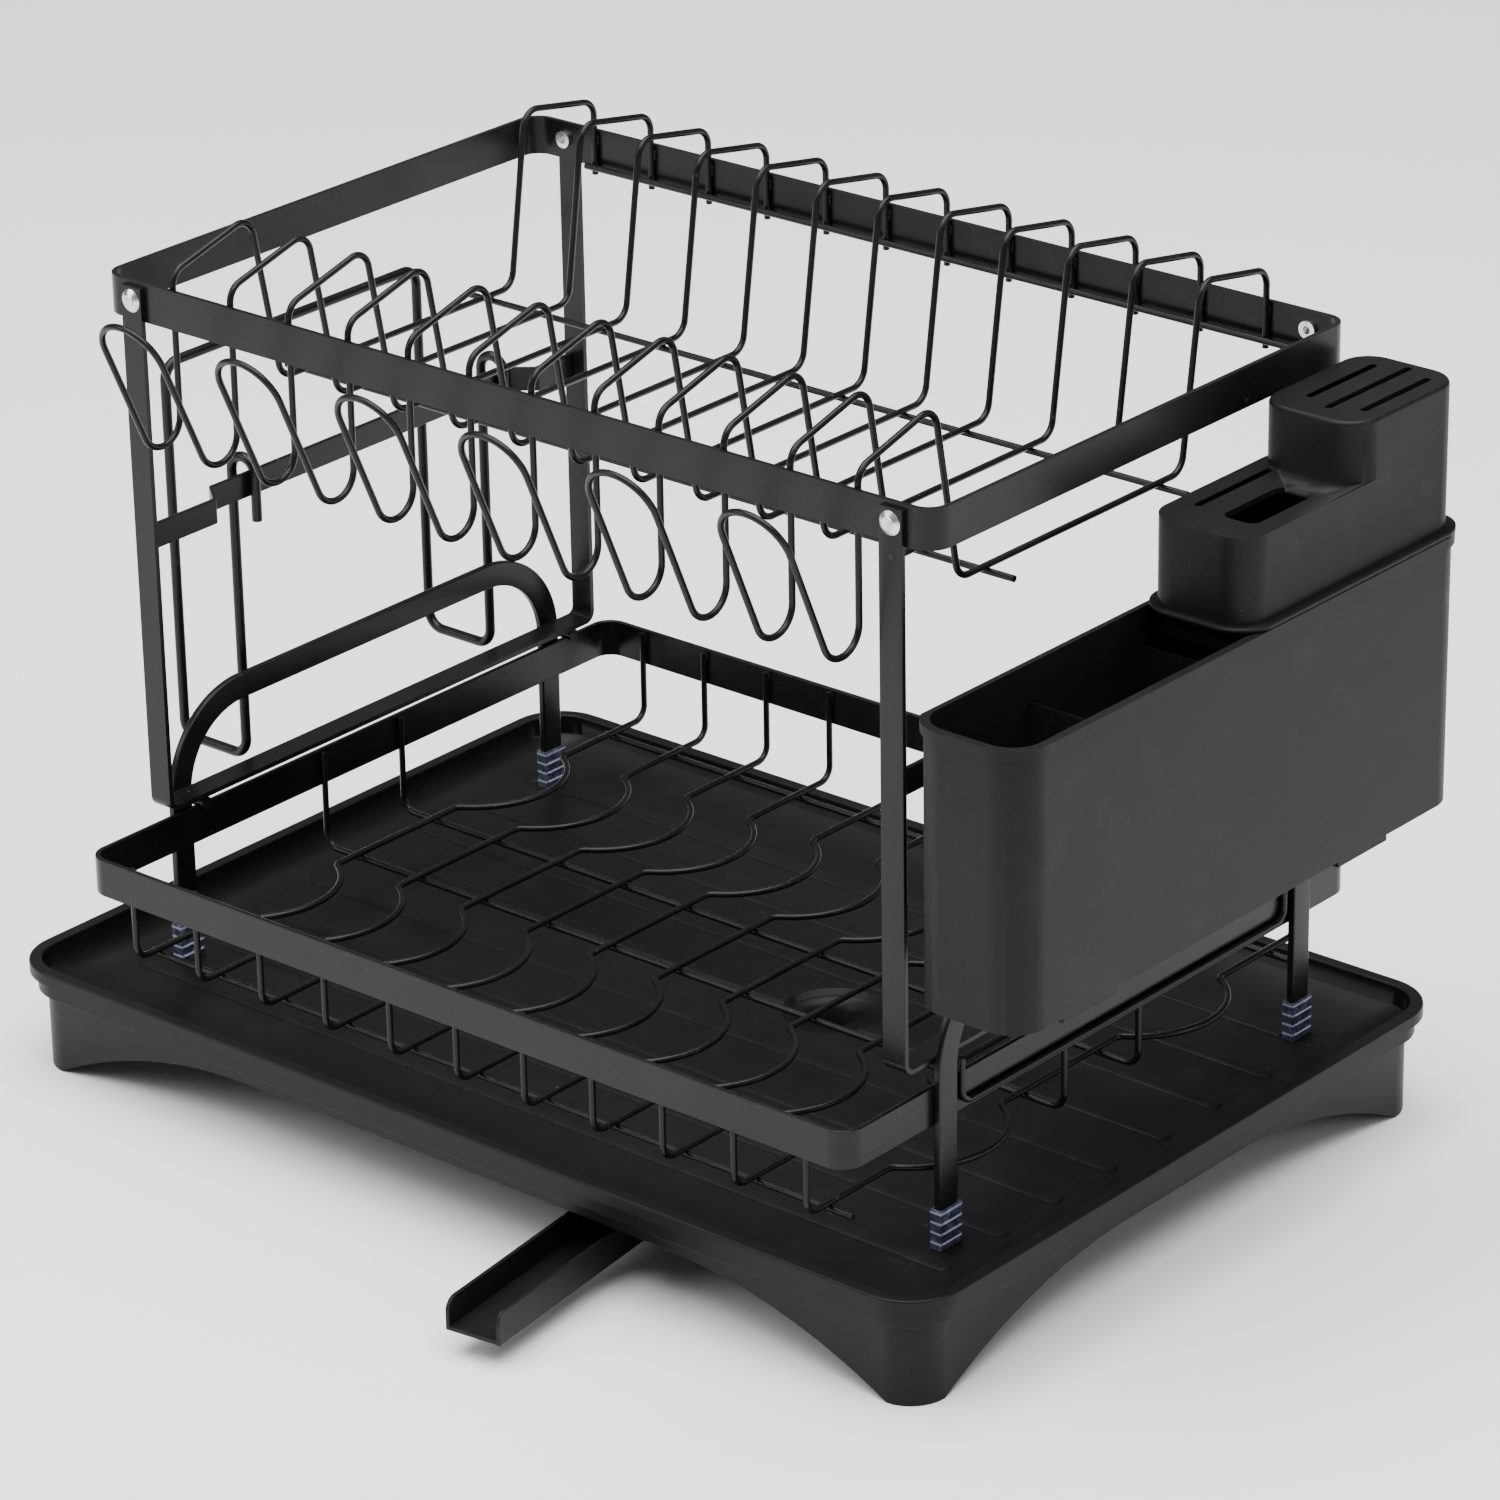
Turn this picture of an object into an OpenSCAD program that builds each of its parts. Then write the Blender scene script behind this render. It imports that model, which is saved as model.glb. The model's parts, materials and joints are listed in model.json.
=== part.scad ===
// Tiered dish drying rack on a drip tray, with plate dividers, cup hooks,
// a board holder and a cutlery box with a knife block.
// Millimetres, +Z up, +X along the long side, origin on the table under the
// middle of the whole outline, spout included.

/* [Drip tray] */
// Length of the tray over its rim
tray_length = 450; // [400:1:520]
// Width of the tray over its rim
tray_width = 315; // [280:1:360]
// Height of the rim above the table
tray_height = 44.9; // [40:0.5:60]
// Height of the tray floor above the table
tray_floor = 36.8; // [28:0.5:40]
// Corner radius of the rim
tray_corner = 22; // [12:1:40]
// Wall thickness of the tray
tray_wall = 2.2; // [1.6:0.1:4]
// Number of ribs on the tray floor
tray_ribs = 8; // [4:1:10]
// Distance from one floor rib to the next
tray_rib_pitch = 31.6; // [24:1:40]
// Distance of the drain from the tray centre, along the length
drain_x = 43; // [0:1:80]
// Distance of the drain from the tray centre, along the width
drain_y = 17; // [-30:1:60]

/* [Drain spout] */
// Outside width of the spout channel
spout_width = 23; // [16:1:34]
// Length of the spout from its pivot to its open end
spout_length = 238; // [180:1:280]
// Angle of the spout from straight forward
spout_angle = 7.4; // [-30:0.2:25]

/* [Wires and strips] */
// Thickness of the thin wires
wire = 2.5; // [2:0.1:4]
// Thickness of the board holder wire
holder_wire = 4; // [3:0.1:6]
// Height of the two ring strips
strip_height = 15; // [12:0.5:20]
// Thickness of every flat strip except the handles
strip_thick = 2; // [1.5:0.1:3]

/* [Lower rack] */
// Length of the lower ring over its outside
lower_length = 370.6; // [330:0.4:400]
// Width of the lower ring over its outside
lower_width = 296.4; // [260:0.2:330]
// Height of the underside of the lower ring above the table
lower_z = 84.7; // [70:0.5:110]
// Height of the lower floor wires above the table
lower_floor = 61.3; // [54:0.5:70]
// Number of wavy floor wires
wave_wires = 11; // [7:1:12]
// Distance from one wavy wire to the next
wave_pitch = 32.8; // [28:0.1:34]
// Height of the top of the handles above the table
handle_top = 144; // [130:1:160]
// Distance of the handle middle behind the middle of the ring
handle_shift = 8.7; // [0:0.5:10]

/* [Upper tier] */
// Length of the upper ring over its outside
upper_length = 390.5; // [340:1:400]
// Width of the upper ring over its outside
upper_width = 237; // [210:1:270]
// Height of the underside of the upper ring above the table
upper_z = 304.8; // [260:1:330]
// Distance from one plate divider to the next
plate_pitch = 29.26; // [24:0.1:32]
// Height of the plate wires where they cross the tier, above the table
plate_floor = 269.6; // [250:1:290]
// Height of the top of the plate loops above the table
plate_top = 338.5; // [322:1:350]

/* [Cutlery box] */
// Outside width of the box
box_width = 48; // [40:1:60]
// Outside length of the box
box_length = 258; // [200:1:270]
// Height of the box
box_height = 104.3; // [80:0.5:120]

/* [Shown part] */
// Name of the one node to show, or all of them

/* [Hidden] */
$fn = 64;

eps = 0.01;
wire_r = wire / 2;
// How far welded wires sink into what they are welded to
weld = 0.04;
// Bends are this much thicker than the straight runs, which end this far inside them
bend_swell = 0.02;
bend_overlap = 0.12;

// Where the middles of the tray, the lower rack and the upper tier stand
tray_at_x = -13.1;
tray_at_y = 31.4;
lower_at_x = tray_at_x + 4.5;
lower_at_y = tray_at_y - 5;
upper_at_x = tray_at_x + 6.2;
upper_at_y = tray_at_y - 0.3;

// Tray levels and insets
lip_width = 5.2;
lip_thick = 2.2;
lip_drop = 5;
wall_inset = 3;
skirt_inset = 6.6;
step_z = 32.5;
floor_thick = 2.5;
arch_top = 26.4;
arch_radius = 213;
arch_flat_x = 102;
arch_flat_y = 33;
rib_width = 7;
rib_height = 0.8;
rib_half = 199;
rib_middle_x = 4.5;
rib_middle_y = -3.5;
rib_clear = 1.5;
rib_first = -(tray_ribs - 1) / 2 * tray_rib_pitch;
sump_r = 20;
sump_depth = 3;
sump_z = tray_floor - sump_depth;
nozzle_r = 9;
nozzle_bore = 7;
nozzle_end = 14;

// Spout levels
spout_bottom = 10;
spout_top = 22;
spout_wall = 1.5;
spout_basin_r = 15;
spout_plate = 3;
pivot_gap = 0.08;
retainer_r = 10.8;
retainer_top = spout_top - spout_plate - 0.4;
retainer_height = 2.5;

// Lower rack
lower_hx = lower_length / 2;
lower_hy = lower_width / 2;
lower_top = lower_z + strip_height;
lower_corner = 9;
wave_first = 0.5 - (wave_wires - 1) / 2 * wave_pitch;
wave_end_y = lower_hy - strip_thick - wire_r + weld;
wave_end_z = lower_top - 1;
wave_front = -68.1;
wave_back = 63.2;
wave_half = 31;
wave_point = 50;
wave_radius = 34.8;
kink_radius = 4;
floor_bend = 6;
cross_z = lower_floor - wire + weld;
cross_front_y = -22.5;
cross_back_y = 21.3;
cross_end_x = lower_hx - strip_thick - wire_r + weld;
rod_front_y = -132.5;
rod_back_y = 126.7;
rod_left = -169;
rod_right = 175;
rod_back_right = 173;

// Handles and feet
bar_width = 10;
bar_thick = 3;
handle_half = 109.65;
handle_radius = 40;
cap_wall = 1;
cap_height = 15.7;
leg_bottom = tray_floor + 1.2;
cap_rib = 0.5;
cap_rib_height = 0.8;
cap_rib_first = 2.4;
cap_rib_step = 3.95;
// Room left in the tray ribs around the back foot caps
cap_shift_x = lower_at_x - tray_at_x;
cap_back_y = lower_at_y - tray_at_y + handle_shift + handle_half - bar_width / 2;
cap_clear_x = bar_thick + 2 * (cap_wall + cap_rib + rib_clear);
cap_clear_y = bar_width + 2 * (cap_wall + rib_clear);
peg_r = 2.4;
peg_length = 13;

// Side loop
loop_z = 88.3;
loop_top = 105.8;
loop_front = -86.5;
loop_back = 104;
loop_x = lower_hx + wire_r - weld;

// Upper tier
upper_hx = upper_length / 2;
upper_hy = upper_width / 2;
upper_top = upper_z + strip_height;
upper_corner = 9;
support_x = 178.3;
support_width = 10;
support_top = upper_top - 1.7;
support_z = 108.7;
support_bend = 5;
// The pegs stop just below the supports that stand on them
peg_z = support_z - 0.2 - peg_r;
rivet_z = upper_z + 8;
rivet_shank = 2.4;
rivet_head = 4.4;
rivet_head_thick = 1.6;
rivet_tail = 3.4;
rivet_tail_length = 1.4;
plate_end_y = upper_hy - strip_thick - wire_r + weld;
plate_shoulder_z = 331.8;
plate_inner_y = 75.8;
plate_foot_y = 65.4;
plate_front_foot_y = -62.1;
plate_front_top_y = -74.6;
plate_front_top = 336.7;
plate_front_shoulder_z = 325.6;
plate_middle_x = -0.45;
plate_end_z = upper_z - 2.6;
plate_bend = 7;
hook_turn_r = 9.5;
hook_turn_z = 270.8;
hook_tilt = 23.5;
hook_r = plate_pitch / 2;
hook_leg = 42.5;
tier_rod_front_y = -45.5;
tier_rod_back_y = 54;
tier_rod_z = plate_floor - wire + weld;
tier_rod_left = -175;
tier_rod_right = 172;
edge_rod_left = -164;
edge_rod_right = 174;
edge_rod_z = upper_z + 0.9;

// Bars between the uprights of each support
cross_bar_z = 213;
cross_bar_height = 10;
bar_inner_x = 179;
bar_outer_x = 189.2;
bar_jog_front = -82;
bar_jog_back = 98;
bar_jog = 8;

// Board holder
hook_gap = 0.3;
holder_r = holder_wire / 2;
holder_free_x = bar_outer_x - hook_gap - holder_r;
holder_turn_r = 6.2;
holder_in_x = holder_free_x + 2 * holder_turn_r;
holder_turn_z = cross_bar_z + cross_bar_height - 1.3;
holder_out_x = 233;
holder_bottom = 102.5;
holder_top = 256.2;
holder_front_y = -53.5;
holder_back_y = 86.5;
holder_free_z = 203.5;
holder_bend = 7;

// Cutlery box
box_x = 195.8;
box_front = -134.3;
box_z = 146.5;
box_wall = 2.2;
box_corner = 14;
box_rim = 1.2;
box_rim_height = 4;
box_floor = 2.5;
box_top = box_z + box_height;
box_back = box_front + box_length;
divider_thick = 1.8;
divider_drop = 14;
divider_1 = box_front + 63.5;
divider_2 = box_front + 127.2;
tab_length = 29.6;
tab_drop = 3;
tab_thick = 3;
tab_1 = -109;
tab_2 = 50.2;
box_hook_width = 24;
box_hook_1 = -52;
box_hook_2 = 36;
box_hook_drop = 8;
box_hook_wall = 1.8;

// Knife block
block_front = -8.7;
block_gap = 0.5;
block_collar = 2;
block_step_y = 57.2;
block_low = 285;
block_high = 308;
block_wall = 2.2;
block_corner = 12;
block_plug = 8;
slot_width = 3;
slot_high_front = 71;
slot_high_length = 41;
slot_middle_more = 5;
slot_high_x = 210.6;
slot_high_pitch = 11.5;
slot_low_x = 207;
slot_low_front = 11;
slot_low_length = 45;
hole_x = 219;
hole_y = 8.5;
hole_width = 14.5;
hole_length = 35.5;
hole_corner = 4;

module at_tray() {
  translate([tray_at_x, tray_at_y, 0]) children();
}

module at_lower() {
  translate([lower_at_x, lower_at_y, 0]) children();
}

module at_upper() {
  translate([upper_at_x, upper_at_y, 0]) children();
}

// Rectangle with rounded corners, centred
module round_rect(lx, ly, r) {
  square([lx - 2 * r, ly], center = true);
  square([lx, ly - 2 * r], center = true);
  for (sx = [-1, 1]) {
    for (sy = [-1, 1]) {
      translate([sx * (lx / 2 - r), sy * (ly / 2 - r)]) circle(r = r);
    }
  }
}

// Flat strip on edge, closed into a rounded rectangle
module strip_ring(lx, ly, r, z) {
  translate([0, 0, z])
    linear_extrude(height = strip_height)
      difference() {
        round_rect(lx, ly, r);
        round_rect(lx - 2 * strip_thick, ly - 2 * strip_thick, r - strip_thick);
      }
}

function unit(v) = v / norm(v);
function turn(a, b) = atan2(a[0] * b[1] - a[1] * b[0], a[0] * b[0] + a[1] * b[1]);

// Straight piece of wire between two points of the XY plane, longer at each end by the given amount
module wire_run(a, b, r, more_a = 0, more_b = 0) {
  translate([a[0], a[1], 0])
    rotate([0, 0, atan2(b[1] - a[1], b[0] - a[0])])
      rotate([0, 90, 0])
        translate([0, 0, -more_a])
          cylinder(r = r, h = norm(b - a) + more_a + more_b);
}

// Bend about the origin in the XY plane, from one angle over the next
module wire_bend(radius, from, angle, r) {
  rotate([0, 0, from])
    rotate_extrude(angle = angle)
      translate([radius, 0]) circle(r = r + bend_swell);
}

// Bent wire through the points, in the XY plane, with one bend radius for each inner point
module bent_wire(points, bends, r) {
  n = len(points);
  inner = [for (i = [1 : n - 2])
    let (
      d1 = unit(points[i] - points[i - 1]),
      d2 = unit(points[i + 1] - points[i]),
      a = turn(d1, d2),
      t = bends[i - 1] * tan(abs(a) / 2),
      start = points[i] - d1 * t,
      end = points[i] + d2 * t,
      side = a > 0 ? 1 : -1,
      centre = start + side * bends[i - 1] * [-d1[1], d1[0]],
      from = a > 0 ? start - centre : end - centre
    ) [start, end, centre, atan2(from[1], from[0]), abs(a), bends[i - 1]]];
  for (i = [0 : n - 2]) {
    a = i == 0 ? points[0] : inner[i - 1][1];
    b = i == n - 2 ? points[n - 1] : inner[i][0];
    wire_run(a, b, r, i == 0 ? 0 : bend_overlap, i == n - 2 ? 0 : bend_overlap);
  }
  for (e = inner) {
    translate([e[2][0], e[2][1], 0]) wire_bend(e[5], e[3], e[4], r);
  }
}

// Puts a shape drawn in the XY plane into the YZ plane
module in_yz() {
  rotate([90, 0, 90]) children();
}

// Puts a shape drawn in the XY plane into the XZ plane
module in_xz() {
  rotate([90, 0, 0]) children();
}

// Shape of one arched opening under the skirt, drawn across the opening
module arch_profile(flat) {
  intersection() {
    union() {
      translate([-flat, -eps]) square([2 * flat, arch_top + eps]);
      for (s = [-1, 1]) {
        translate([s * flat, arch_top - arch_radius]) circle(r = arch_radius, $fn = 180);
      }
    }
    translate([-tray_length / 2, -1]) square([tray_length, arch_top + 1]);
  }
}

module tray_rib() {
  translate([0, 0, tray_floor - eps])
    linear_extrude(height = rib_height + eps) {
      square([2 * rib_half - rib_width, rib_width], center = true);
      for (s = [-1, 1]) {
        translate([s * (rib_half - rib_width / 2), 0]) circle(d = rib_width);
      }
    }
}

module drip_tray() {
  color([0.07, 0.07, 0.075])
    at_tray()
    difference() {
      union() {
        // skirt down to the table, wall above its step, and floor
        difference() {
          union() {
            linear_extrude(height = step_z + eps)
              round_rect(tray_length - 2 * skirt_inset, tray_width - 2 * skirt_inset,
                tray_corner - skirt_inset);
            translate([0, 0, step_z])
              linear_extrude(height = tray_height - step_z)
                round_rect(tray_length - 2 * wall_inset, tray_width - 2 * wall_inset,
                  tray_corner - wall_inset);
          }
          translate([0, 0, -1])
            linear_extrude(height = tray_floor - floor_thick + 1)
              round_rect(tray_length - 2 * (skirt_inset + tray_wall),
                tray_width - 2 * (skirt_inset + tray_wall), tray_corner - skirt_inset - tray_wall);
          translate([0, 0, tray_floor])
            linear_extrude(height = tray_height)
              round_rect(tray_length - 2 * lip_width, tray_width - 2 * lip_width,
                tray_corner - lip_width);
          in_xz() translate([0, 0, -tray_width])
            linear_extrude(height = 2 * tray_width) arch_profile(arch_flat_x);
          in_yz() translate([0, 0, -tray_length])
            linear_extrude(height = 2 * tray_length) arch_profile(arch_flat_y);
        }
        // rolled rim
        translate([0, 0, tray_height - lip_drop])
          difference() {
            linear_extrude(height = lip_drop) round_rect(tray_length, tray_width, tray_corner);
            translate([0, 0, -1])
              linear_extrude(height = lip_drop + 1 - lip_thick)
                round_rect(tray_length - 2 * 1.6, tray_width - 2 * 1.6, tray_corner - 1.6);
            translate([0, 0, -1])
              linear_extrude(height = lip_drop + 2)
                round_rect(tray_length - 2 * lip_width, tray_width - 2 * lip_width,
                  tray_corner - lip_width);
          }
        // floor ribs, left out where the back foot caps stand
        difference() {
          for (i = [0 : tray_ribs - 1]) {
            translate([rib_middle_x, rib_middle_y + rib_first + i * tray_rib_pitch, 0]) tray_rib();
          }
          for (side = [-1, 1]) {
            translate([cap_shift_x + side * (lower_hx + bar_thick / 2) - cap_clear_x / 2,
              cap_back_y - cap_clear_y / 2, tray_floor])
              cube([cap_clear_x, cap_clear_y, rib_height + 1]);
          }
        }
        // underside of the sump and the outlet nozzle
        translate([drain_x, drain_y, sump_z - floor_thick])
          cylinder(r = sump_r + tray_wall, h = sump_depth + floor_thick - eps);
        translate([drain_x, drain_y, nozzle_end])
          cylinder(r = nozzle_r, h = sump_z - nozzle_end - eps);
      }
      translate([drain_x, drain_y, sump_z]) cylinder(r = sump_r, h = sump_depth + 5);
      translate([drain_x, drain_y, 0]) cylinder(r = nozzle_bore, h = sump_z + 1);
    }
}

module spout_retainer() {
  color([0.08, 0.08, 0.085])
    at_tray()
    translate([drain_x, drain_y, retainer_top - retainer_height])
      difference() {
        cylinder(r = retainer_r, h = retainer_height);
        translate([0, 0, -1]) cylinder(r = nozzle_r, h = retainer_height + 2);
      }
}

// Spout drawn along -Y from its pivot at the origin
module spout_body() {
  h = spout_top - spout_bottom;
  corner = 5;
  difference() {
    union() {
      cylinder(r = spout_basin_r, h = h);
      in_yz() translate([0, 0, -spout_width / 2])
        linear_extrude(height = spout_width) {
          translate([-spout_length, 0]) square([spout_length, h - corner]);
          translate([-spout_length + corner, 0]) square([spout_length - corner, h]);
          translate([-spout_length + corner, h - corner]) circle(r = corner);
        }
    }
    // inside of the basin, under its bearing plate
    translate([0, 0, spout_wall])
      cylinder(r = spout_basin_r - spout_wall, h = h - spout_wall - spout_plate);
    translate([0, 0, spout_wall]) cylinder(r = nozzle_r + pivot_gap, h = h);
    // channel, open above and at its end
    translate([-spout_width / 2 + spout_wall, -spout_length - 1, spout_wall])
      cube([spout_width - 2 * spout_wall, spout_length - spout_basin_r + 1, h]);
    translate([-spout_width / 2 + spout_wall + 2, -spout_basin_r - 1, spout_wall])
      cube([spout_width - 2 * spout_wall - 4, spout_basin_r, h - spout_wall - spout_plate]);
  }
}

module drain_spout() {
  color([0.08, 0.08, 0.085])
    at_tray()
    translate([drain_x, drain_y, spout_bottom])
      rotate([0, 0, spout_angle]) spout_body();
}

module lower_ring() {
  color([0.05, 0.05, 0.05])
    at_lower()
    strip_ring(lower_length, lower_width, lower_corner, lower_z);
}

// Floor wire with two waves, and both ends turned up inside the ring
module wave_wire(n) {
  x = wave_first + (n - 1) * wave_pitch;
  end_straight = wave_end_y - floor_bend;
  color([0.05, 0.05, 0.05])
    at_lower()
    translate([x, 0, 0]) {
      translate([0, 0, lower_floor])
        bent_wire(
          [[0, -end_straight - bend_overlap], [0, wave_front - wave_half],
            [wave_point, wave_front], [0, wave_front + wave_half], [0, wave_back - wave_half],
            [wave_point, wave_back], [0, wave_back + wave_half], [0, end_straight + bend_overlap]],
          [kink_radius, wave_radius, kink_radius, kink_radius, wave_radius, kink_radius],
          wire_r);
      in_yz() {
        for (s = [-1, 1]) {
          translate([s * end_straight, lower_floor + floor_bend])
            wire_bend(floor_bend, s > 0 ? -90 : 180, 90, wire_r);
          wire_run([s * wave_end_y, lower_floor + floor_bend], [s * wave_end_y, wave_end_z],
            wire_r, bend_overlap);
        }
      }
    }
}

module wave_wire_01() { wave_wire(1); }
module wave_wire_02() { wave_wire(2); }
module wave_wire_03() { wave_wire(3); }
module wave_wire_04() { wave_wire(4); }
module wave_wire_05() { wave_wire(5); }
module wave_wire_06() { wave_wire(6); }
module wave_wire_07() { wave_wire(7); }
module wave_wire_08() { wave_wire(8); }
module wave_wire_09() { wave_wire(9); }
module wave_wire_10() { wave_wire(10); }
module wave_wire_11() { wave_wire(11); }

// Cross wire under the wavy wires, with both ends turned up inside the ring
module cross_wire(y) {
  color([0.05, 0.05, 0.05])
    at_lower()
    translate([0, y, 0])
      in_xz()
        bent_wire(
          [[-cross_end_x, wave_end_z], [-cross_end_x, cross_z], [cross_end_x, cross_z],
            [cross_end_x, wave_end_z]],
          [floor_bend, floor_bend], wire_r);
}

module cross_wire_front() { cross_wire(cross_front_y); }
module cross_wire_back() { cross_wire(cross_back_y); }

module rod_x(x1, x2, y, z) {
  color([0.05, 0.05, 0.05])
    translate([x1, y, z]) rotate([0, 90, 0]) cylinder(r = wire_r, h = x2 - x1);
}

module floor_rod_front() { at_lower() rod_x(rod_left, rod_right, rod_front_y, cross_z); }
module floor_rod_back() { at_lower() rod_x(rod_left, rod_back_right, rod_back_y, cross_z); }

// Flat bar bent into a wide arch, drawn in the YZ plane
module handle_profile() {
  half = handle_half;
  difference() {
    union() {
      translate([-half, leg_bottom]) square([2 * half, handle_top - handle_radius - leg_bottom]);
      translate([-half + handle_radius, leg_bottom])
        square([2 * (half - handle_radius), handle_top - leg_bottom]);
      for (s = [-1, 1]) {
        translate([s * (half - handle_radius), handle_top - handle_radius])
          circle(r = handle_radius, $fn = 120);
      }
    }
    translate([-half + bar_width, leg_bottom - 1])
      square([2 * (half - bar_width), handle_top - handle_radius - leg_bottom + 1]);
    translate([-half + handle_radius, leg_bottom - 1])
      square([2 * (half - handle_radius), handle_top - bar_width - leg_bottom + 1]);
    for (s = [-1, 1]) {
      translate([s * (half - handle_radius), handle_top - handle_radius])
        circle(r = handle_radius - bar_width, $fn = 120);
    }
  }
}

module handle(side) {
  x = side > 0 ? lower_hx : -lower_hx - bar_thick;
  color([0.05, 0.05, 0.05])
    at_lower()
    translate([x, handle_shift, 0])
      in_yz() linear_extrude(height = bar_thick) handle_profile();
}

module handle_left() { handle(-1); }
module handle_right() { handle(1); }

// Short round pegs on the inside of the handle legs, just above the ring
module tier_pegs() {
  color([0.05, 0.05, 0.05])
    at_lower()
    for (sx = [-1, 1]) {
      for (sy = [-1, 1]) {
        translate([sx > 0 ? lower_hx - peg_length : -lower_hx,
          handle_shift + sy * (handle_half - bar_width / 2), peg_z])
          rotate([0, 90, 0]) cylinder(r = peg_r, h = peg_length);
      }
    }
}

module side_loop_wire() {
  color([0.05, 0.05, 0.05])
    at_lower()
    translate([loop_x, 0, 0])
      in_yz()
        bent_wire(
          [[loop_front, loop_top], [loop_front, loop_z], [loop_back, loop_z],
            [loop_back, loop_top]],
          [5, 5], wire_r);
}

// Soft cap around the end of a leg, with ribs across its outside
module foot_cap(sx, sy) {
  x = sx > 0 ? lower_hx : -lower_hx - bar_thick;
  y = handle_shift + sy * (handle_half - bar_width / 2) - bar_width / 2;
  color([0.55, 0.62, 0.75, 0.6])
    at_lower()
    translate([x, y, tray_floor])
      difference() {
        union() {
          translate([-cap_wall, -cap_wall, 0])
            cube([bar_thick + 2 * cap_wall, bar_width + 2 * cap_wall, cap_height]);
          for (i = [0 : 2]) {
            translate([-cap_wall - cap_rib, 0, cap_rib_first + i * cap_rib_step])
              cube([bar_thick + 2 * (cap_wall + cap_rib), bar_width, cap_rib_height]);
          }
        }
        translate([0, 0, leg_bottom - tray_floor])
          cube([bar_thick, bar_width, cap_height]);
      }
}

module foot_cap_left_front() { foot_cap(-1, -1); }
module foot_cap_left_back() { foot_cap(-1, 1); }
module foot_cap_right_front() { foot_cap(1, -1); }
module foot_cap_right_back() { foot_cap(1, 1); }

module upper_ring() {
  color([0.05, 0.05, 0.05])
    at_upper()
      difference() {
        strip_ring(upper_length, upper_width, upper_corner, upper_z);
        for (s = [-1, 1]) {
          translate([s * support_x, upper_hy + 1, rivet_z])
            rotate([90, 0, 0]) cylinder(r = rivet_shank, h = upper_width + 2);
        }
      }
}

// One divider of a plate wire: back end, back loop, floor, front loop and the turn below it
module plate_half() {
  turn_y = -plate_end_y;
  in_yz() {
    bent_wire(
      [[plate_end_y, plate_end_z], [plate_end_y, plate_shoulder_z], [plate_inner_y, plate_top],
        [plate_foot_y, plate_floor], [plate_front_foot_y, plate_floor],
        [plate_front_top_y, plate_front_top], [turn_y, plate_front_shoulder_z],
        [turn_y, hook_turn_z - bend_overlap]],
      [plate_bend, plate_bend, plate_bend, plate_bend, plate_bend, plate_bend], wire_r);
    translate([turn_y - hook_turn_r, hook_turn_z])
      wire_bend(hook_turn_r, -180 + hook_tilt, 180 - hook_tilt, wire_r);
  }
}

// One continuous wire with two dividers and the cup hook between them
module plate_wire(n) {
  x = plate_middle_x + (n - 3.5) * 2 * plate_pitch;
  turn_y = -plate_end_y - hook_turn_r - hook_turn_r * cos(hook_tilt);
  turn_z = hook_turn_z - hook_turn_r * sin(hook_tilt);
  color([0.05, 0.05, 0.05])
    at_upper()
    translate([x, 0, 0]) {
      for (s = [-1, 1]) {
        translate([s * hook_r, 0, 0]) plate_half();
      }
      translate([0, turn_y, turn_z])
        rotate([hook_tilt, 0, 0]) {
          for (s = [-1, 1]) {
            translate([s * hook_r, 0, -bend_overlap])
              cylinder(r = wire_r, h = hook_leg + 2 * bend_overlap);
          }
          translate([0, 0, hook_leg]) in_xz() wire_bend(hook_r, 0, 180, wire_r);
        }
    }
}

module plate_wire_1() { plate_wire(1); }
module plate_wire_2() { plate_wire(2); }
module plate_wire_3() { plate_wire(3); }
module plate_wire_4() { plate_wire(4); }
module plate_wire_5() { plate_wire(5); }
module plate_wire_6() { plate_wire(6); }

module tier_rod_front() {
  at_upper() rod_x(tier_rod_left, tier_rod_right, tier_rod_front_y, tier_rod_z);
}

module tier_rod_back() {
  at_upper() rod_x(tier_rod_left, tier_rod_right, tier_rod_back_y, tier_rod_z);
}

// Thin rod along the back strip that the ends of the plate wires are welded to
module edge_rod() {
  at_upper() rod_x(edge_rod_left, edge_rod_right, plate_end_y - wire + weld, edge_rod_z);
}

// Flat strip bent into a U that carries one end of the upper tier
module support(side) {
  half = upper_hy + strip_thick;
  x = side * support_x - support_width / 2;
  color([0.05, 0.05, 0.05])
    at_upper()
      difference() {
        translate([x, 0, 0])
          in_yz()
            linear_extrude(height = support_width)
              difference() {
                union() {
                  translate([-half, support_z + support_bend])
                    square([2 * half, support_top - support_z - support_bend]);
                  translate([-half + support_bend, support_z])
                    square([2 * (half - support_bend), support_bend]);
                  for (s = [-1, 1]) {
                    translate([s * (half - support_bend), support_z + support_bend])
                      circle(r = support_bend);
                  }
                }
                translate([-half + strip_thick, support_z + support_bend])
                  square([2 * (half - strip_thick), support_top]);
                translate([-half + support_bend, support_z + strip_thick])
                  square([2 * (half - support_bend), support_bend]);
                for (s = [-1, 1]) {
                  translate([s * (half - support_bend), support_z + support_bend])
                    circle(r = support_bend - strip_thick);
                }
              }
        translate([side * support_x, half + 1, rivet_z])
          rotate([90, 0, 0]) cylinder(r = rivet_shank, h = 2 * half + 2);
      }
}

module support_left() { support(-1); }
module support_right() { support(1); }

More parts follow.
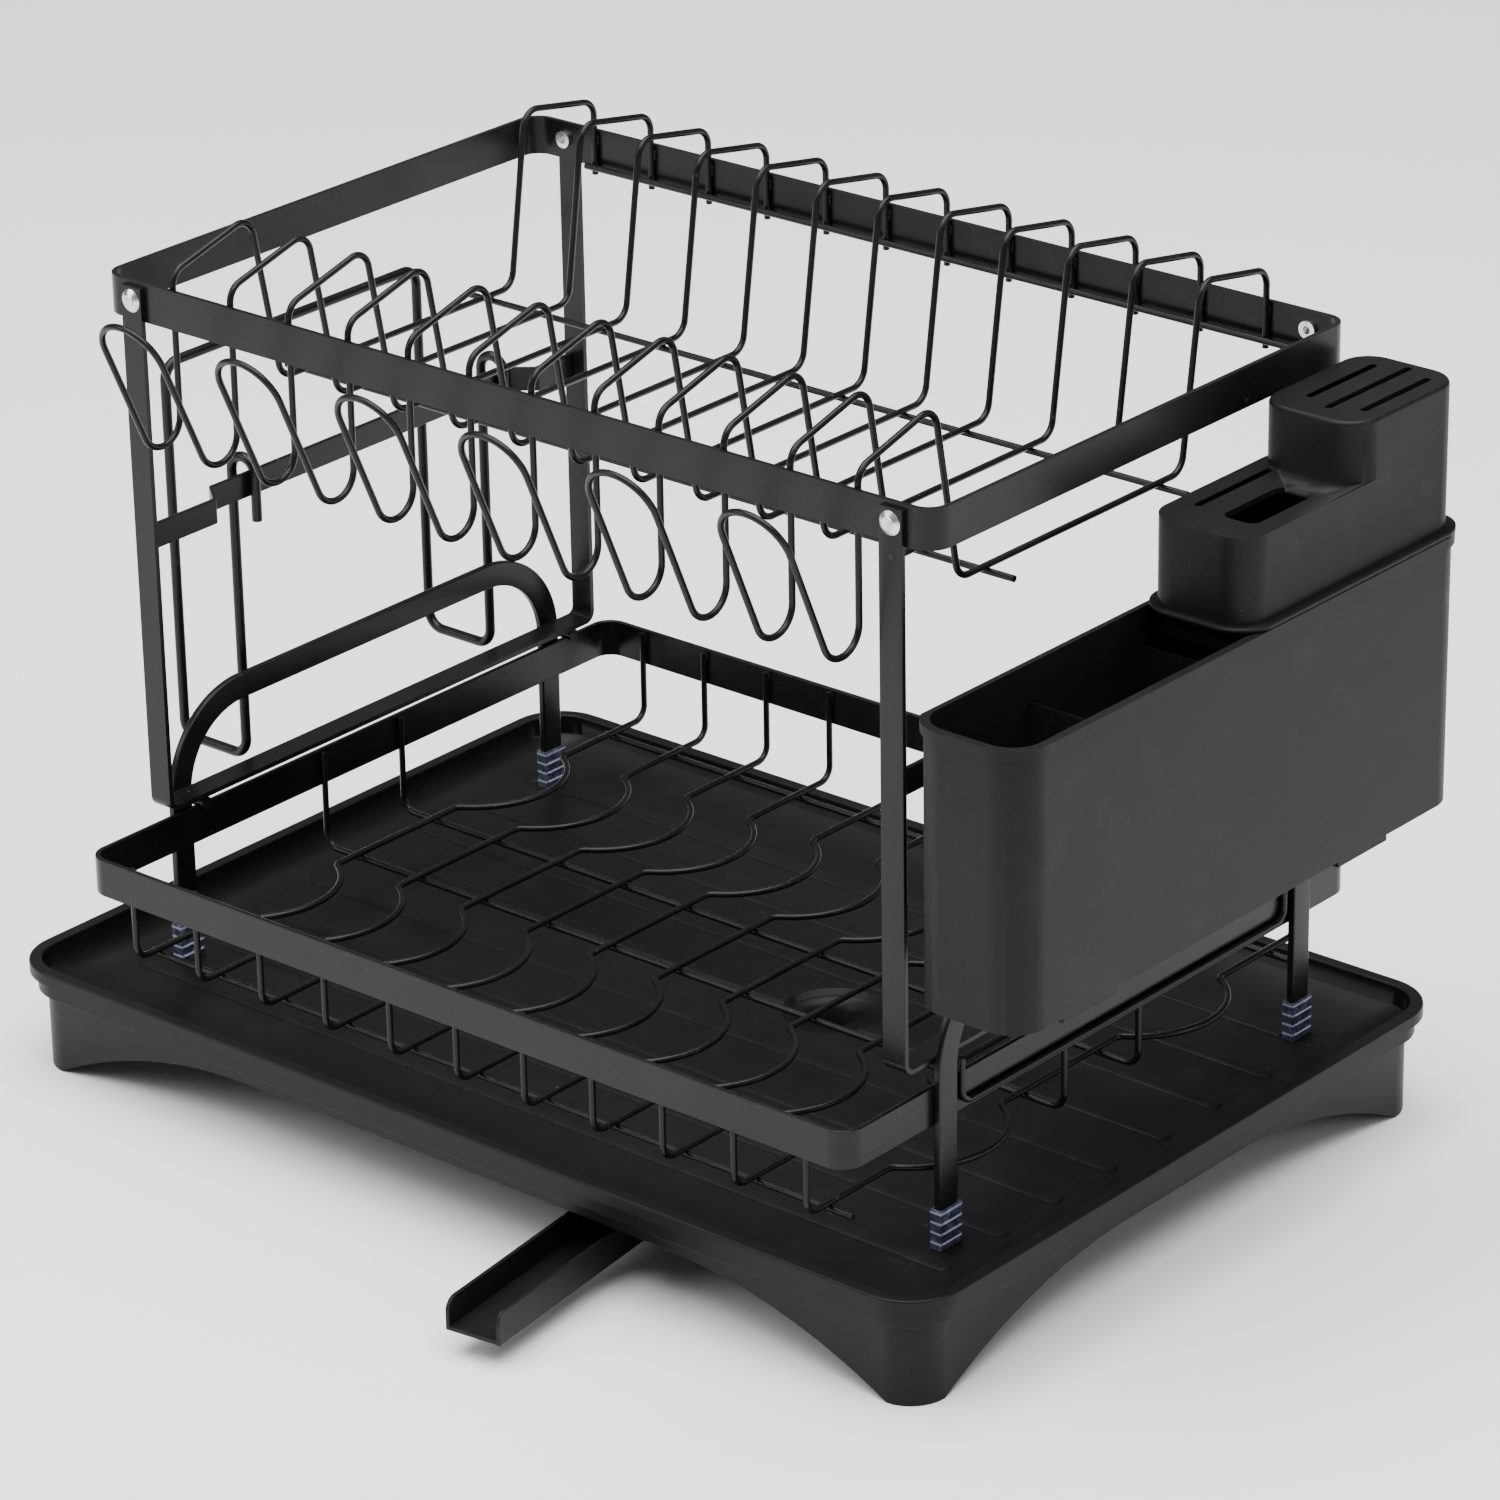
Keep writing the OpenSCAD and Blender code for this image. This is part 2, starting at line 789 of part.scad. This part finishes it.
// Tubular rivets through the supports and the upper ring
module support_rivets() {
  stack = 2 * strip_thick;
  color([0.75, 0.75, 0.77])
    at_upper()
    for (sx = [-1, 1]) {
      for (sy = [-1, 1]) {
        translate([sx * support_x, sy * (upper_hy + strip_thick), rivet_z])
          rotate([sy > 0 ? -90 : 90, 0, 0])
            difference() {
              union() {
                translate([0, 0, -stack - rivet_tail_length])
                  cylinder(r = rivet_shank, h = stack + rivet_tail_length + rivet_head_thick);
                difference() {
                  intersection() {
                    translate([0, 0, rivet_head_thick - 7.4]) sphere(r = 7.4);
                    cylinder(r = rivet_head, h = rivet_head_thick);
                  }
                  translate([0, 0, -1]) cylinder(r = rivet_shank / 2, h = 1);
                }
                translate([0, 0, -stack - rivet_tail_length])
                  cylinder(r = rivet_tail, h = rivet_tail_length);
              }
              translate([0, 0, -stack - rivet_tail_length - 1]) cylinder(r = 1.5, h = 4);
            }
      }
    }
}

// Flat bar between the uprights, stepped outward over its middle
module cross_bar(side) {
  front = -upper_hy;
  back = upper_hy;
  color([0.05, 0.05, 0.05])
    at_upper()
    mirror([side < 0 ? 1 : 0, 0, 0])
      translate([0, 0, cross_bar_z])
        linear_extrude(height = cross_bar_height)
          polygon([
            [bar_inner_x, front], [bar_inner_x + strip_thick, front],
            [bar_inner_x + strip_thick, bar_jog_front],
            [bar_outer_x + strip_thick, bar_jog_front + bar_jog],
            [bar_outer_x + strip_thick, bar_jog_back - bar_jog],
            [bar_inner_x + strip_thick, bar_jog_back], [bar_inner_x + strip_thick, back],
            [bar_inner_x, back], [bar_inner_x, bar_jog_back],
            [bar_outer_x, bar_jog_back - bar_jog], [bar_outer_x, bar_jog_front + bar_jog],
            [bar_inner_x, bar_jog_front]
          ]);
}

module board_bar() { cross_bar(-1); }
module box_bar() { cross_bar(1); }

// One side of the board holder: hook over the bar, inner leg, bottom and outer leg
module holder_side() {
  in_xz() {
    wire_run([-holder_free_x, holder_free_z], [-holder_free_x, holder_turn_z], holder_r,
      0, bend_overlap);
    translate([-(holder_free_x + holder_in_x) / 2, holder_turn_z])
      wire_bend(holder_turn_r, 0, 180, holder_r);
    bent_wire(
      [[-holder_in_x, holder_turn_z + bend_overlap], [-holder_in_x, holder_bottom],
        [-holder_out_x, holder_bottom],
        [-holder_out_x, holder_top - holder_bend + bend_overlap]],
      [holder_bend, holder_bend], holder_r);
  }
}

module board_holder() {
  color([0.05, 0.05, 0.05]) at_upper() {
    for (y = [holder_front_y, holder_back_y]) {
      translate([0, y, 0]) holder_side();
    }
    translate([-holder_out_x, 0, 0])
      in_yz() {
        wire_run([holder_front_y + holder_bend, holder_top],
          [holder_back_y - holder_bend, holder_top], holder_r, bend_overlap, bend_overlap);
        translate([holder_front_y + holder_bend, holder_top - holder_bend])
          wire_bend(holder_bend, 90, 90, holder_r);
        translate([holder_back_y - holder_bend, holder_top - holder_bend])
          wire_bend(holder_bend, 0, 90, holder_r);
      }
  }
}

// Outline of the box, grown by the given amount
module box_outline(grow) {
  translate([box_x + box_width / 2, box_front + box_length / 2])
    round_rect(box_width + 2 * grow, box_length + 2 * grow, box_corner + grow);
}

module cutlery_box() {
  color([0.07, 0.07, 0.075])
    at_upper()
    union() {
      difference() {
        union() {
          translate([0, 0, box_z]) linear_extrude(height = box_height) box_outline(0);
          translate([0, 0, box_top - box_rim_height])
            linear_extrude(height = box_rim_height)
              intersection() {
                box_outline(box_rim);
                translate([box_x, box_front - 5])
                  square([box_width + 10, box_length + 10]);
              }
          for (y = [tab_1, tab_2]) {
            translate([box_x + box_width - tab_thick - 1, y, box_z - tab_drop])
              cube([tab_thick, tab_length, tab_drop + 1]);
          }
        }
        translate([0, 0, box_z + box_floor])
          linear_extrude(height = box_height) box_outline(-box_wall);
        for (i = [0 : 9]) {
          translate([box_x + box_width / 2, box_front + 22 + i * 23.5, box_z - 1])
            cylinder(r = 3, h = box_floor + 2);
        }
      }
      for (y = [divider_1, divider_2]) {
        translate([box_x + box_wall - eps, y - divider_thick / 2, box_z + box_floor - eps])
          cube([box_width - 2 * box_wall + 2 * eps, divider_thick,
            box_height - box_floor - divider_drop]);
      }
      for (y = [box_hook_1, box_hook_2]) {
        translate([bar_outer_x - hook_gap - box_hook_wall, y, cross_bar_z + cross_bar_height + 0.3])
          cube([box_x - bar_outer_x + hook_gap + box_hook_wall + 1, box_hook_width, 2]);
        translate([bar_outer_x - hook_gap - box_hook_wall, y,
          cross_bar_z + cross_bar_height + 0.3 - box_hook_drop])
          cube([box_hook_wall, box_hook_width, box_hook_drop + 1]);
      }
    }
}

// Outline of the knife block at the given distance inside the box outline
module block_outline(inset, front, back, r) {
  x1 = box_x + max(inset, 0);
  x2 = box_x + box_width - inset;
  y1 = front + inset;
  y2 = back - inset;
  translate([(x1 + x2) / 2, (y1 + y2) / 2]) round_rect(x2 - x1, y2 - y1, r);
}

module knife_slot(x, y, length, z) {
  translate([x, y + slot_width / 2, z - 8])
    linear_extrude(height = 20) {
      translate([-slot_width / 2, 0]) square([slot_width, length - slot_width]);
      circle(d = slot_width);
      translate([0, length - slot_width]) circle(d = slot_width);
    }
}

module knife_block() {
  plug = box_wall + block_gap;
  body = box_wall;
  color([0.07, 0.07, 0.075])
    at_upper()
    difference() {
      union() {
        // collar resting on the rim, and the plug inside it
        translate([0, 0, box_top])
          linear_extrude(height = block_collar)
            block_outline(-1, block_front, box_back, box_corner);
        translate([0, 0, box_top - block_plug])
          linear_extrude(height = block_plug + eps)
            block_outline(plug, block_front, box_back, block_corner - block_gap);
        translate([0, 0, box_top])
          linear_extrude(height = block_low - box_top)
            block_outline(body, block_front, box_back, block_corner);
        translate([0, 0, box_top])
          linear_extrude(height = block_high - box_top)
            block_outline(body, block_step_y - body, box_back, block_corner);
      }
      // hollow inside, open below
      translate([0, 0, box_top - block_plug - 1])
        linear_extrude(height = block_low - block_wall - box_top + block_plug + 1)
          block_outline(body + block_wall, block_front, box_back, block_corner - block_wall);
      translate([0, 0, box_top - block_plug - 1])
        linear_extrude(height = block_high - block_wall - box_top + block_plug + 1)
          block_outline(body + block_wall, block_step_y - body, box_back, block_corner - block_wall);
      for (i = [0 : 2]) {
        more = i == 1 ? slot_middle_more : 0;
        knife_slot(slot_high_x + i * slot_high_pitch, slot_high_front - more,
          slot_high_length + 2 * more, block_high);
      }
      knife_slot(slot_low_x, slot_low_front, slot_low_length, block_low);
      translate([hole_x + hole_width / 2, hole_y + hole_length / 2, block_low - 8])
        linear_extrude(height = 20) round_rect(hole_width, hole_length, hole_corner);
    }
}

drip_tray();
spout_retainer();
drain_spout();
lower_ring();
wave_wire_01();
wave_wire_02();
wave_wire_03();
wave_wire_04();
wave_wire_05();
wave_wire_06();
wave_wire_07();
wave_wire_08();
wave_wire_09();
wave_wire_10();
wave_wire_11();
cross_wire_front();
cross_wire_back();
floor_rod_front();
floor_rod_back();
handle_left();
handle_right();
tier_pegs();
side_loop_wire();
foot_cap_left_front();
foot_cap_left_back();
foot_cap_right_front();
foot_cap_right_back();
upper_ring();
plate_wire_1();
plate_wire_2();
plate_wire_3();
plate_wire_4();
plate_wire_5();
plate_wire_6();
tier_rod_front();
tier_rod_back();
edge_rod();
support_left();
support_right();
support_rivets();
board_bar();
box_bar();
board_holder();
cutlery_box();
knife_block();
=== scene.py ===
import json
import math

import bmesh
import bpy
from mathutils import Matrix, Vector


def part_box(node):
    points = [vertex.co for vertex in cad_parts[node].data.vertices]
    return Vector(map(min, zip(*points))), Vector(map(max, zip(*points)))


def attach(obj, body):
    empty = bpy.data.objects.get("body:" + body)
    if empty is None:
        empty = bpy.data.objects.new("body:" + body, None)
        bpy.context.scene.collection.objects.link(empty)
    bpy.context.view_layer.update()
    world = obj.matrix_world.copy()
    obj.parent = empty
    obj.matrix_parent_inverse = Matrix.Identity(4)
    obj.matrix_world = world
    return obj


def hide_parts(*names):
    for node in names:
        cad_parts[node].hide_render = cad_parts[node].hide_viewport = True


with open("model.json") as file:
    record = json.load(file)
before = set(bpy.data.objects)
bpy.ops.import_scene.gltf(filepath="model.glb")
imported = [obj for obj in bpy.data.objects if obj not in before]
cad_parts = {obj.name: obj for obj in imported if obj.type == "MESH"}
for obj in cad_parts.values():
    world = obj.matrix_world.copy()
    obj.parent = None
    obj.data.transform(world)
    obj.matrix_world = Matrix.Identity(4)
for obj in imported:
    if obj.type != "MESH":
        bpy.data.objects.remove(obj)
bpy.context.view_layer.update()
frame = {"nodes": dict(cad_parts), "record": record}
nodes = frame["nodes"]
record = frame["record"]
body_of = {n: b for b, names in record["behaviour"]["bodies"].items() for n in names}
slot_of = {p["node"]: p["material_slot"] for p in record["subparts"]}


# ---------------------------------------------------------------- shader writing
class Sock:
    """One socket of a material's node tree. Maths on it adds Math nodes."""

    def __init__(self, tree, out):
        self.tree = tree
        self.out = out

    def _math(self, operation, a, b=0.0, c=0.0):
        inputs = {0: a, 1: b, 2: c}
        return make_node(self.tree, "ShaderNodeMath", 0, inputs, operation=operation)

    def __add__(self, other):
        return self._math("ADD", self, other)

    __radd__ = __add__

    def __sub__(self, other):
        return self._math("SUBTRACT", self, other)

    def __rsub__(self, other):
        return self._math("SUBTRACT", other, self)

    def __mul__(self, other):
        return self._math("MULTIPLY", self, other)

    __rmul__ = __mul__

    def pingpong(self, span):
        return self._math("PINGPONG", self, span)

    def smooth(self, low, high):
        return make_node(self.tree, "ShaderNodeMapRange", 0, {0: self, 1: low, 2: high},
                         interpolation_type="SMOOTHSTEP")


def make_node(tree, kind, outlet=0, inputs=None, **settings):
    """Add a node: its settings first, then the values and links of its sockets."""
    n = tree.nodes.new(kind)
    for key, value in settings.items():
        setattr(n, key, value)
    for key, value in (inputs or {}).items():
        if isinstance(value, Sock):
            tree.links.new(value.out, n.inputs[key])
        else:
            n.inputs[key].default_value = value
    return Sock(tree, n.outputs[outlet])


def new_material(name, colour, roughness):
    m = bpy.data.materials.new(name)
    m.use_nodes = True
    shader = m.node_tree.nodes["Principled BSDF"]
    shader.inputs["Base Color"].default_value = (*colour, 1.0)
    shader.inputs["Roughness"].default_value = roughness
    m.diffuse_color = (*colour, 1.0)
    return m, m.node_tree, shader


# ---------------------------------------------------------------- finishes
# The grey that rubbing and dust give the black plastics
WORN_BLACK = (0.022, 0.022, 0.0225)


def grain(tree, scale, detail, stretch=(1, 1, 1), offset=0.0):
    """Noise fixed to the piece; stretch is its scale along each axis, offset gives another patch."""
    spot = make_node(tree, "ShaderNodeTexCoord", "Object")
    moved = make_node(tree, "ShaderNodeMapping", 0,
                      {"Vector": spot, "Scale": stretch, "Location": (offset, offset, offset)})
    return make_node(tree, "ShaderNodeTexNoise", 0, {"Vector": moved, "Scale": scale, "Detail": detail})


def dented(tree, shader, height, depth, strength):
    bump = make_node(tree, "ShaderNodeBump", 0,
                     {"Height": height, "Distance": depth, "Strength": strength})
    tree.links.new(bump.out, shader.inputs["Normal"])


def into(tree, shader, name, value):
    tree.links.new(value.out, shader.inputs[name])


def blend(tree, amount, under, over):
    """One colour laid over another by an amount that varies."""
    return make_node(tree, "ShaderNodeMix", 2, {0: amount, 6: (*under, 1.0), 7: (*over, 1.0)},
                     data_type="RGBA")


def coated_steel():
    """Baked black coating on steel: orange-peel skin, handling haze, a few pale specks of lime."""
    m, tree, shader = new_material("black_coated_steel", (0.011, 0.011, 0.012), 0.3)
    peel = grain(tree, 620.0, 3.0)
    fine = grain(tree, 2600.0, 2.0, offset=3.1)
    haze = grain(tree, 24.0, 5.0, offset=1.7).smooth(0.42, 0.68)
    speck = grain(tree, 330.0, 1.0, offset=7.3).smooth(0.74, 0.79)
    colour = blend(tree, speck * 0.3 + haze * 0.05, (0.0045, 0.0045, 0.005), (0.06, 0.059, 0.057))
    into(tree, shader, "Base Color", colour)
    into(tree, shader, "Roughness", haze * 0.05 + fine * 0.05 + speck * 0.25 + 0.25)
    shader.inputs["Specular IOR Level"].default_value = 0.22
    dented(tree, shader, peel + fine * 0.3, 0.00005, 0.5)
    return m


def moulded_plastic(name, colour, rough, depth):
    """Satin black plastic: spark-eroded mould grain, faint flow lines, rubbed and dusty patches."""
    m, tree, shader = new_material(name, colour, rough)
    texture = grain(tree, 1900.0, 2.0)
    flow = grain(tree, 16.0, 3.0, (0.4, 1.0, 3.0), 2.4).smooth(0.35, 0.7)
    rubbed = grain(tree, 70.0, 6.0, offset=5.5).smooth(0.55, 0.75)
    scratch = grain(tree, 90.0, 2.0, (14.0, 0.7, 1.5), 8.0).smooth(0.66, 0.70)
    dust = grain(tree, 420.0, 1.0, offset=4.2).smooth(0.77, 0.80)
    worn = flow * 0.12 + rubbed * 0.12 + scratch * 0.15 + dust * 0.9
    into(tree, shader, "Base Color", blend(tree, worn, colour, WORN_BLACK))
    sheen = texture * 0.10 + flow * 0.03 - rubbed * 0.03
    into(tree, shader, "Roughness", sheen + (rough - 0.03))
    shader.inputs["Specular IOR Level"].default_value = 0.15
    dented(tree, shader, texture - scratch * 0.5, depth, 0.5)
    return m


def clear_cap():
    """Soft bluish cap plastic: pale along its ribs, with painted shade between them for the dark leg
    seen through the thin plastic.
    """
    rib_start, rib_step = 0.0396, 0.00395
    m, tree, shader = new_material("soft_cap_plastic", (0.20, 0.22, 0.36), 0.25)
    spot = make_node(tree, "ShaderNodeTexCoord", "Object")
    height = make_node(tree, "ShaderNodeSeparateXYZ", 2, {0: spot})
    along = (height - rib_start) * (1.0 / rib_step)
    groove_shade_mask = (along + 0.5).pingpong(0.5).smooth(0.36, 0.42)
    cloud = grain(tree, 300.0, 3.0).smooth(0.35, 0.7)
    # Painted shade: the dark colour goes in the grooves between the ribs, and the pale cap colour goes
    # along the ribs.
    colour = blend(tree, groove_shade_mask * 0.85 + cloud * 0.15, (0.035, 0.038, 0.07), (0.44, 0.47, 0.66))
    into(tree, shader, "Base Color", colour)
    into(tree, shader, "Roughness", cloud * 0.12 + 0.2)
    shader.inputs["Transmission Weight"].default_value = 0.25
    shader.inputs["IOR"].default_value = 1.46
    dented(tree, shader, cloud, 0.00005, 0.4)
    return m


def rivet_steel():
    """Bright pressed rivet head with tool rings and small nicks."""
    m, tree, shader = new_material("bright_rivet_steel", (0.70, 0.70, 0.71), 0.24)
    shader.inputs["Metallic"].default_value = 1.0
    rub = grain(tree, 900.0, 4.0, (1.0, 1.0, 5.0))
    stain = grain(tree, 260.0, 3.0, offset=2.2).smooth(0.5, 0.72)
    colour = blend(tree, stain, (0.74, 0.74, 0.75), (0.50, 0.49, 0.47))
    into(tree, shader, "Base Color", colour)
    into(tree, shader, "Roughness", rub * 0.16 + stain * 0.12 + 0.16)
    dented(tree, shader, rub, 0.00003, 0.5)
    return m


finish_of = {
    "black_coated_steel": coated_steel(),
    "tray_plastic": moulded_plastic("tray_plastic", (0.005, 0.005, 0.0052), 0.40, 0.00005),
    "box_plastic": moulded_plastic("box_plastic", (0.006, 0.006, 0.0062), 0.44, 0.00006),
    "cap_plastic": clear_cap(),
    "rivet_steel": rivet_steel(),
}
for name, obj in nodes.items():
    obj.data.materials.clear()
    obj.data.materials.append(finish_of[slot_of[name]])


# ---------------------------------------------------------------- pieces with worked edges
# Turns sharper than this, in degrees, stay sharp in the shading, or are found as corners
SHARP_TURN = 50.0
BEAD_TURN = 80.0
CORNER_TURN = 38.0
# Points nearer than this are one point, in metres, and turns flatter than this are flat, in degrees
SAME_POINT = 2e-6
FLAT_TURN = 0.6


def finished(bm, name, like, smooth_angle=SHARP_TURN):
    """Make the piece, in the body and the material slot of the node it is like."""
    mesh = bpy.data.meshes.new(name)
    bmesh.ops.recalc_face_normals(bm, faces=bm.faces)
    wide = [face for face in bm.faces if len(face.verts) > 4]
    bmesh.ops.triangulate(bm, faces=wide, quad_method="BEAUTY", ngon_method="BEAUTY")
    bm.to_mesh(mesh)
    bm.free()
    mesh.materials.append(finish_of[slot_of[like]])
    for face in mesh.polygons:
        face.use_smooth = True
    mesh.set_sharp_from_angle(angle=math.radians(smooth_angle))
    obj = bpy.data.objects.new(name, mesh)
    bpy.context.scene.collection.objects.link(obj)
    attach(obj, body_of[like])
    return obj


def merged_copy(node):
    """The node's mesh with its points joined and its flat faces whole."""
    bm = bmesh.new()
    bm.from_mesh(nodes[node].data)
    bm.transform(nodes[node].matrix_world)
    bmesh.ops.remove_doubles(bm, verts=bm.verts, dist=SAME_POINT)
    bmesh.ops.dissolve_degenerate(bm, dist=SAME_POINT, edges=bm.edges)
    bmesh.ops.dissolve_limit(bm, angle_limit=math.radians(FLAT_TURN), verts=bm.verts,
                             edges=bm.edges)
    return bm


def corners(bm, test):
    """The edges that turn sharply and pass the test of their middle, if there is one."""
    found = []
    for edge in bm.edges:
        if len(edge.link_faces) == 2 and edge.calc_face_angle(0.0) > math.radians(CORNER_TURN):
            if test is None or test((edge.verts[0].co + edge.verts[1].co) / 2, edge):
                found.append(edge)
    return found


def worked(node, name, cuts):
    """The node's shape with its corners rounded: cuts is a list of (edge test, radius, steps)."""
    bm = merged_copy(node)
    for test, radius, steps in cuts:
        bmesh.ops.bevel(bm, geom=corners(bm, test), offset=radius, offset_type="OFFSET",
                        segments=steps, profile=0.5, affect="EDGES", material=-1,
                        clamp_overlap=True)
    obj = finished(bm, name, node)
    even = obj.modifiers.new("even_shading", "WEIGHTED_NORMAL")
    even.keep_sharp = True
    even.mode = "FACE_AREA_WITH_ANGLE"
    even.weight = 100
    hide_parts(node)


def flat_edge(edge):
    return abs(edge.verts[0].co.z - edge.verts[1].co.z) < 1e-5


def rounded_strips():
    """Rolled edges of the flat steel strips and bars."""
    strip_roll, handle_roll = 0.00045, 0.0006
    for node in ("lower_ring", "upper_ring", "support_left", "support_right", "board_bar", "box_bar"):
        worked(node, node + "_rolled", [(None, strip_roll, 2)])
    for node in ("handle_left", "handle_right"):
        worked(node, node + "_rolled", [(None, handle_roll, 2)])


def rounded_caps():
    cap_round = 0.00022
    for node in nodes:
        if node.startswith("foot_cap"):
            worked(node, node + "_soft", [(None, cap_round, 1)])


def rounded_tray():
    rim_round, under_round = 0.0009, 0.0005
    rim_band = 0.0003
    underside = 0.0335
    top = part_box("drip_tray")[1][2]
    worked("drip_tray", "drip_tray_moulded", [
        (lambda p, e: flat_edge(e) and p.z > top - rim_band, rim_round, 3),
        (lambda p, e: p.z < underside, under_round, 2),
    ])


def rounded_box():
    floor_round, rim_round = 0.0022, 0.0006
    floor_band, rim_band = 0.0033, 0.0062
    middle, inner_half = 0.2129, 0.018
    low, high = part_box("cutlery_box")

    def floor_edge(p, e):
        return flat_edge(e) and p.z < low[2] + floor_band and abs(p.x - middle) > inner_half

    def rim_edge(p, e):
        return flat_edge(e) and p.z > high[2] - rim_band

    worked("cutlery_box", "cutlery_box_moulded",
           [(floor_edge, floor_round, 4), (rim_edge, rim_round, 2)])


def inside_outline(p, low, high, corner):
    """How far a point lies inside a rounded rectangle, in metres."""
    across = abs(p.x - (low[0] + high[0]) / 2) - (high[0] - low[0]) / 2 + corner
    along = abs(p.y - (low[1] + high[1]) / 2) - (high[1] - low[1]) / 2 + corner
    return corner - math.hypot(max(across, 0), max(along, 0)) - min(max(across, along), 0)


def rounded_block():
    """The knife block's two top rims. Its lip stands out past its walls all round."""
    rim_round, corner = 0.003, 0.012
    inner_lip, lip = 0.0022, 0.0032
    low_top, step = 0.285, 0.0883
    height_band, outline_band = 0.0005, 0.0004
    low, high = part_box("knife_block")
    left, right = low[0] + inner_lip, high[0] - lip
    front, back = low[1] + lip, high[1] - lip

    def on_outline(p, y):
        return abs(inside_outline(p, (left, y), (right, back), corner)) < outline_band

    def top_rim(p, e):
        return p.z > high[2] - height_band and on_outline(p, step)

    def low_rim(p, e):
        return abs(p.z - low_top) < height_band and p.y < step and on_outline(p, front)

    worked("knife_block", "knife_block_moulded", [(top_rim, rim_round, 5), (low_rim, rim_round, 5)])


def weld_bead(bm, place):
    made = bmesh.ops.create_icosphere(bm, subdivisions=2, radius=0.0011)
    bmesh.ops.scale(bm, vec=(0.8, 0.6, 2.2), verts=made["verts"])
    bmesh.ops.translate(bm, vec=place, verts=made["verts"])


def weld_beads(name, ring, wires, drop):
    """Small flattened beads on both sides of each wire, where it meets the ring's two long sides."""
    to_inner_face, sunk, aside = 0.0021, 0.0003, 0.00095
    low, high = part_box(ring)
    bm = bmesh.new()
    for x in wires:
        for y, inwards in ((low[1] + to_inner_face, 1), (high[1] - to_inner_face, -1)):
            for side in (-1, 1):
                weld_bead(bm, (x + side * aside, y + inwards * sunk, high[2] - drop))
    finished(bm, name, ring, BEAD_TURN)


def beads_of_both_rings():
    wave_half, plate_half = 0.00125, 0.00127
    waves, plates = [], []
    for node in nodes:
        first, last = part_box(node)
        if node.startswith("wave_wire"):
            waves.append(first[0] + wave_half)
        if node.startswith("plate_wire"):
            plates += [first[0] + plate_half, last[0] - plate_half]
    weld_beads("lower_weld_beads", "lower_ring", waves, 0.004)
    weld_beads("upper_weld_beads", "upper_ring", plates, 0.0045)


rounded_strips()
rounded_caps()
rounded_tray()
rounded_box()
rounded_block()
beads_of_both_rings()


# ---------------------------------------------------------------- floor, light, camera
def soft_light(name, place, aim, size, watts):
    """A soft rectangular lamp at a place, turned to its aim."""
    data = bpy.data.lights.new(name, "AREA")
    data.shape = "RECTANGLE"
    data.size, data.size_y = size
    data.energy = watts
    lamp = bpy.data.objects.new(name, data)
    bpy.context.scene.collection.objects.link(lamp)
    lamp.location = place
    lamp.rotation_mode = "QUATERNION"
    lamp.rotation_quaternion = (Vector(aim) - Vector(place)).to_track_quat("-Z", "Y")


def pale_floor():
    floor_half = 8.0
    bm = bmesh.new()
    bmesh.ops.create_grid(bm, x_segments=1, y_segments=1, size=floor_half)
    mesh = bpy.data.meshes.new("floor")
    bm.to_mesh(mesh)
    bm.free()
    floor = bpy.data.objects.new("floor", mesh)
    bpy.context.scene.collection.objects.link(floor)
    m, _, _ = new_material("pale_floor", (0.93, 0.93, 0.93), 0.9)
    mesh.materials.append(m)


def studio_light():
    world = bpy.data.worlds.new("studio")
    bpy.context.scene.world = world
    world.use_nodes = True
    background = world.node_tree.nodes["Background"]
    background.inputs["Color"].default_value = (1, 1, 1, 1)
    background.inputs["Strength"].default_value = 0.22
    soft_light("overhead", (0.2, -0.3, 2.6), (0.0, 0.0, 0.0), (3.2, 3.2), 230.0)
    soft_light("window_side", (-1.3, -1.6, 1.2), (0.0, 0.0, 0.15), (1.2, 1.0), 18.0)
    soft_light("right_end", (2.3, 0.5, 0.9), (0.2, 0.0, 0.2), (1.0, 1.0), 10.0)


def camera():
    data = bpy.data.cameras.new("camera")
    cam = bpy.data.objects.new("camera", data)
    bpy.context.scene.collection.objects.link(cam)
    data.sensor_width = 36.0
    data.lens = 148.71
    data.clip_end = 30.0
    around, up, lean = (math.radians(v) for v in (40.698, 23.776, -1.023))
    level = math.cos(up)
    back = Vector((math.sin(around) * level, -math.cos(around) * level, math.sin(up)))
    aimed = (-back).to_track_quat("-Z", "Y")
    cam.rotation_mode = "QUATERNION"
    cam.rotation_quaternion = aimed @ Matrix.Rotation(lean, 3, "Z").to_quaternion()
    cam.location = (1.37663, -1.56352, 1.07034)
    bpy.context.scene.camera = cam


pale_floor()
studio_light()
camera()
